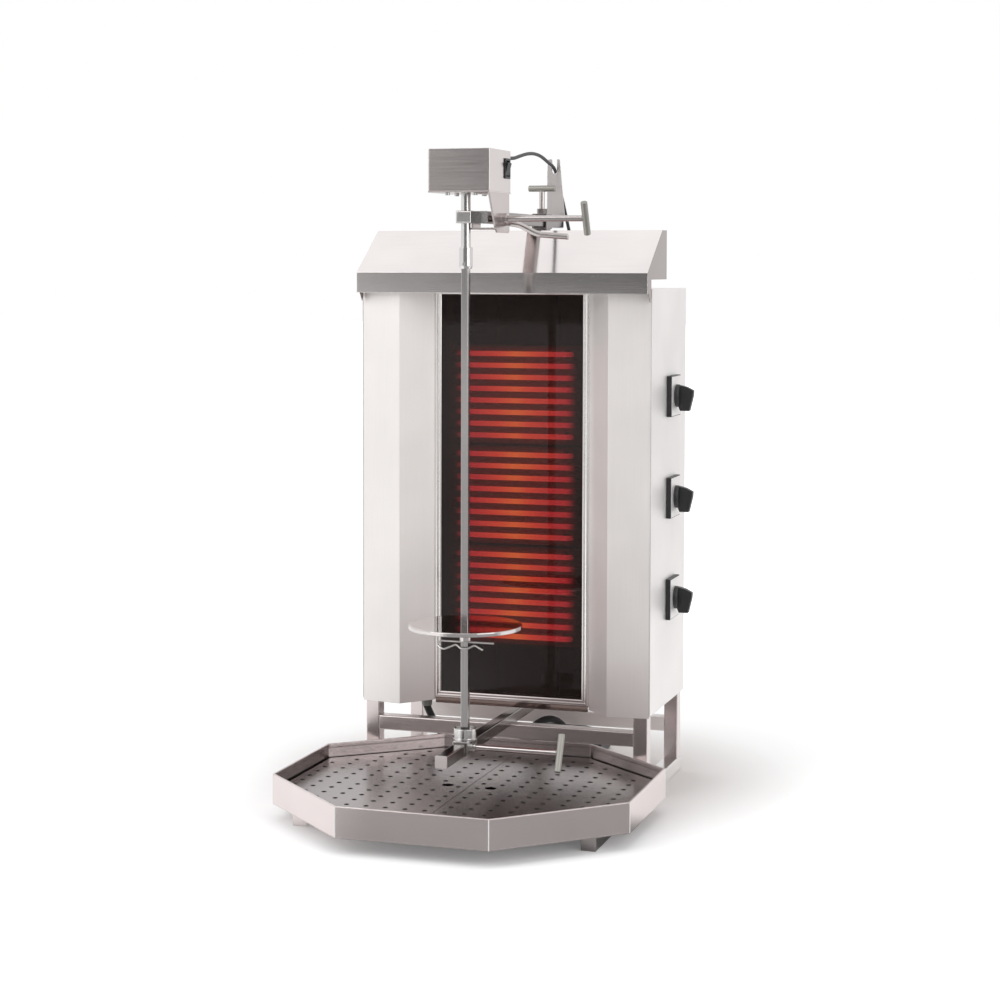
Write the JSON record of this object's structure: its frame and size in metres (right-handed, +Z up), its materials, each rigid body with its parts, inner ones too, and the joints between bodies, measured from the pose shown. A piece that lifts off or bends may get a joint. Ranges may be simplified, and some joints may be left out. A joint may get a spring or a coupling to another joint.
{
  "type": "electric doner kebab grill",
  "caption": "Upright doner grill: folded steel cabinet with three glowing elements behind dark glass, driven vertical spit with meat disc, tube stand and drip tray.",
  "frame": {"origin": "on the floor, in the symmetry plane of the cabinet and stand, half-way along the depth of the stand and tray", "axes": "+X to the user's right, +Y back into the cabinet, +Z up; the spit turns about the vertical line x = 0, y = -0.098"},
  "size_m": [0.6063, 0.9215, 1.1055],
  "materials": {
    "stand_steel": "brushed stainless steel tube",
    "sheet_steel": "brushed stainless steel sheet",
    "panel_steel": "bright stainless steel sheet",
    "arm_steel": "polished steel tube",
    "turned_steel": "turned and polished steel",
    "cast_steel": "blasted steel",
    "tray_steel": "stainless steel sheet",
    "motor_case": "brushed stainless steel box",
    "gear_case": "cast gear housing",
    "ceramic": "dark glass ceramic",
    "element": "heating element, glowing orange",
    "board": "mineral insulation board",
    "black_plastic": "moulded black plastic",
    "grey_plastic": "moulded grey plastic",
    "cable": "black rubber sheath",
    "plug": "moulded plug body",
    "bearing": "ground bearing steel"
  },
  "bodies": {
    "cabinet": {"floor_rails": "stand_steel", "front_posts": "stand_steel", "rear_posts": "stand_steel", "front_crossbar": "stand_steel", "rear_crossbar": "stand_steel", "lower_arm": "arm_steel", "lower_arm_cap": "black_plastic", "floor_panel": "sheet_steel", "left_side_panel": "panel_steel", "right_side_panel": "panel_steel", "rear_panel": "sheet_steel", "top_panel": "sheet_steel", "left_wing": "sheet_steel", "right_wing": "sheet_steel", "window_frame": "sheet_steel", "ceramic_glass": "ceramic", "heating_elements": "element", "insulation_boards": "board", "heater_mounts": "sheet_steel", "energy_regulators": "black_plastic", "knob_bezels": "panel_steel", "hood": "panel_steel", "hood_brackets": "sheet_steel", "arm_clamp": "arm_steel", "cable_glands": "grey_plastic", "terminal_block": "grey_plastic", "mains_cable": "cable", "cable_coil": "cable", "mains_plug": "plug"},
    "upper_slide": {"upper_arm": "arm_steel", "bearing_block": "arm_steel", "upper_arm_caps": "black_plastic", "fork_plate": "sheet_steel", "motor_cover": "motor_case", "motor_base": "motor_case", "base_screws": "turned_steel", "gear_motor": "gear_case", "motor_bracket": "sheet_steel", "bent_handle": "cast_steel", "switch_frame": "black_plastic", "motor_lead_gland": "grey_plastic", "motor_lead": "cable"},
    "spit": {"output_shaft": "turned_steel", "spit_rod": "turned_steel", "spring_clip": "turned_steel"},
    "coupling": {"coupling_sleeve": "turned_steel"},
    "disc": {"meat_disc": "turned_steel"},
    "lower_bearing": {"bearing_yoke": "arm_steel", "bearing_cup": "turned_steel", "ball_bearing": "bearing"},
    "yoke_lock": {"yoke_screw": "cast_steel"},
    "bracket_lock": {"bracket_screw": "cast_steel"},
    "clamp_lock": {"clamp_screw": "cast_steel"},
    "rocker": {"rocker_switch": "black_plastic"},
    "knob_top": {"upper_knob": "black_plastic"},
    "knob_mid": {"middle_knob": "black_plastic"},
    "knob_low": {"lower_knob": "black_plastic"},
    "tray": {"drip_tray": "tray_steel"},
    "insert_left": {"left_insert": "tray_steel"},
    "insert_right": {"right_insert": "tray_steel"}
  },
  "joints": [
    {"name": "arm_slide", "type": "slide", "parent": "cabinet", "child": "upper_slide", "axis": [0, 1, 0], "range_m": [-0.06, 0.11], "deforming": ["motor_lead"]},
    {"name": "bearing_slide", "type": "slide", "parent": "cabinet", "child": "lower_bearing", "axis": [0, 1, 0], "range_m": [-0.06, 0.11]},
    {"name": "spit_spin", "type": "hinge", "parent": "upper_slide", "child": "spit", "pos_m": [0, -0.098, 0.987], "axis": [0, 0, 1], "continuous": true},
    {"name": "coupling_lift", "type": "slide", "parent": "spit", "child": "coupling", "axis": [0, 0, 1], "range_m": [0, 0.009]},
    {"name": "disc_lift", "type": "slide", "parent": "spit", "child": "disc", "axis": [0, 0, 1], "range_m": [0, 0.52]},
    {"name": "yoke_lock_turn", "type": "hinge", "parent": "lower_bearing", "child": "yoke_lock", "pos_m": [0.05, -0.098, 0.122], "axis": [1, 0, 0], "range_deg": [-360, 0]},
    {"name": "bracket_lock_turn", "type": "hinge", "parent": "upper_slide", "child": "bracket_lock", "pos_m": [0.1, -0.066, 0.985], "axis": [1, 0, 0], "range_deg": [-360, 0]},
    {"name": "clamp_lock_turn", "type": "hinge", "parent": "cabinet", "child": "clamp_lock", "pos_m": [0.025, 0.25, 1.02], "axis": [0, 0, 1], "range_deg": [0, 360]},
    {"name": "rocker_tilt", "type": "hinge", "parent": "upper_slide", "child": "rocker", "pos_m": [0.048, -0.043, 1.067], "axis": [0, -1, 0], "range_deg": [0, 16]},
    {"name": "upper_knob_turn", "type": "hinge", "parent": "cabinet", "child": "knob_top", "pos_m": [0.27, 0.2545, 0.6835], "axis": [1, 0, 0], "range_deg": [-300, 0]},
    {"name": "middle_knob_turn", "type": "hinge", "parent": "cabinet", "child": "knob_mid", "pos_m": [0.27, 0.2545, 0.507], "axis": [1, 0, 0], "range_deg": [-300, 0]},
    {"name": "lower_knob_turn", "type": "hinge", "parent": "cabinet", "child": "knob_low", "pos_m": [0.27, 0.2545, 0.33], "axis": [1, 0, 0], "range_deg": [-300, 0]},
    {"name": "tray_pull", "type": "slide", "parent": "cabinet", "child": "tray", "axis": [0, -1, 0], "range_m": [0, 0.45]},
    {"name": "left_insert_lift", "type": "slide", "parent": "tray", "child": "insert_left", "axis": [0, 0, 1], "range_m": [0, 0.04]},
    {"name": "right_insert_lift", "type": "slide", "parent": "tray", "child": "insert_right", "axis": [0, 0, 1], "range_m": [0, 0.04]}
  ],
  "couplings": [
    {"joint": "bearing_slide", "follows": "arm_slide", "ratio": 1}
  ]
}
